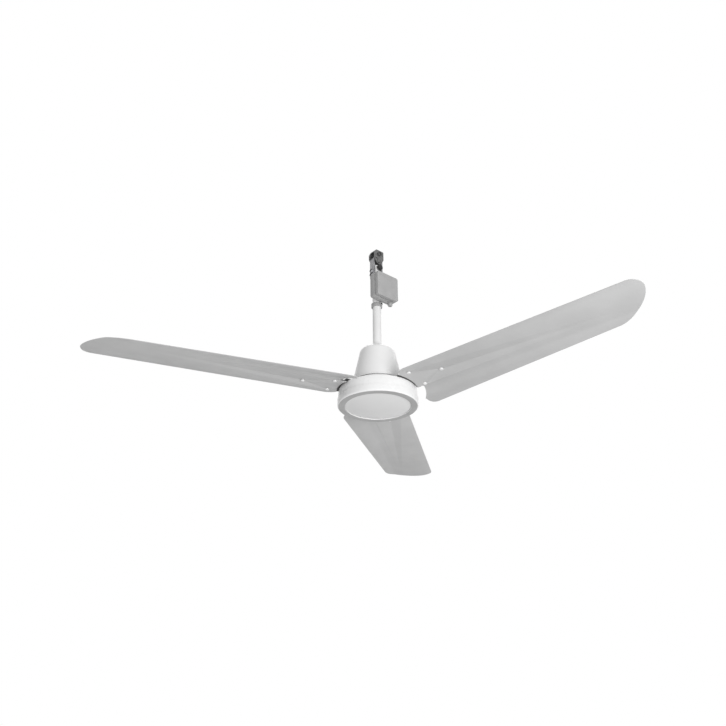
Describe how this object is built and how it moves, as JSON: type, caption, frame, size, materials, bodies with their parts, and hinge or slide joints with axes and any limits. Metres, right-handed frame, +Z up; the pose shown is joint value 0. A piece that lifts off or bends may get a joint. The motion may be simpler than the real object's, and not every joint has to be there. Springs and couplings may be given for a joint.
{
  "type": "ceiling fan",
  "caption": "Ceiling sweep fan on a down-rod: bracket and strap hanger, side terminal box, bell canopy, drum motor housing and creased sheet-metal blades",
  "frame": {"origin": "The middle of the ceiling bracket's top face, where it meets the ceiling.", "axes": "+Z is up. +X runs along the bracket's cheeks, the pivot pin lies along Y, and the terminal box is on the -Y side of the rod. Everything hangs below the origin."},
  "size_m": [1.2158, 1.1454, 0.4513],
  "materials": {
    "white_enamel": "gloss enamel",
    "blade_enamel": "satin powder coat",
    "rod_enamel": "gloss enamel",
    "box_plastic": "fine moulded texture",
    "dark_steel": "dark phosphate",
    "zinc_steel": "zinc plated",
    "black_steel": "black oxide",
    "rubber": "moulded",
    "copper": "enamelled wire",
    "laminated_steel": "stamped laminations",
    "capacitor_plastic": "moulded",
    "terminal_nylon": "moulded nylon"
  },
  "bodies": {
    "root": {"ceiling_bracket": "dark_steel", "bracket_tie_bolt": "dark_steel", "bracket_tie_nut": "dark_steel", "pivot_pin": "dark_steel", "pivot_sleeve": "rubber"},
    "hanger": {"hanger_strap": "zinc_steel", "strap_bolt_upper": "zinc_steel", "strap_bolt_lower": "zinc_steel", "strap_nut_upper": "zinc_steel", "strap_nut_lower": "zinc_steel", "down_rod": "rod_enamel", "safety_bolt": "black_steel", "safety_nut": "black_steel", "terminal_box_base": "box_plastic", "terminal_box_lid": "box_plastic", "lid_screw": "zinc_steel", "box_saddle": "zinc_steel", "saddle_screw_1": "zinc_steel", "saddle_screw_2": "zinc_steel", "motor_capacitor": "capacitor_plastic", "terminal_block": "terminal_nylon", "cable_grommet": "rubber", "box_collar": "zinc_steel", "collar_screw": "black_steel", "motor_shaft": "zinc_steel", "coupler_bolt": "zinc_steel", "coupler_nut": "zinc_steel", "stator_core": "laminated_steel", "stator_winding_upper": "copper", "stator_winding_lower": "copper", "bearing_upper": "zinc_steel", "bearing_lower": "zinc_steel"},
    "rotor": {"housing_top": "white_enamel", "housing_cup": "white_enamel", "housing_cap": "white_enamel", "rotor_cage": "laminated_steel", "iron_screw_1": "zinc_steel", "iron_screw_2": "zinc_steel", "iron_screw_3": "zinc_steel", "iron_screw_4": "zinc_steel", "iron_screw_5": "zinc_steel", "iron_screw_6": "zinc_steel", "blade_1": "blade_enamel", "blade_2": "blade_enamel", "blade_3": "blade_enamel", "blade_iron_1": "black_steel", "blade_iron_2": "black_steel", "blade_iron_3": "black_steel", "blade_screw_1_1": "zinc_steel", "blade_screw_1_2": "zinc_steel", "blade_screw_1_3": "zinc_steel", "blade_screw_2_1": "zinc_steel", "blade_screw_2_2": "zinc_steel", "blade_screw_2_3": "zinc_steel", "blade_screw_3_1": "zinc_steel", "blade_screw_3_2": "zinc_steel", "blade_screw_3_3": "zinc_steel"},
    "canopy": {"canopy": "white_enamel", "canopy_grip_ring": "rubber"}
  },
  "joints": [
    {"name": "hanger_swing", "type": "hinge", "parent": "root", "child": "hanger", "pos_m": [0, 0, -0.032], "axis": [0, 1, 0], "range_deg": [-20, 20]},
    {"name": "rotor_spin", "type": "hinge", "parent": "hanger", "child": "rotor", "pos_m": [0, 0, -0.42], "axis": [0, 0, 1], "continuous": true},
    {"name": "canopy_slide", "type": "slide", "parent": "hanger", "child": "canopy", "axis": [0, 0, 1], "range_m": [0, 0.11]}
  ]
}
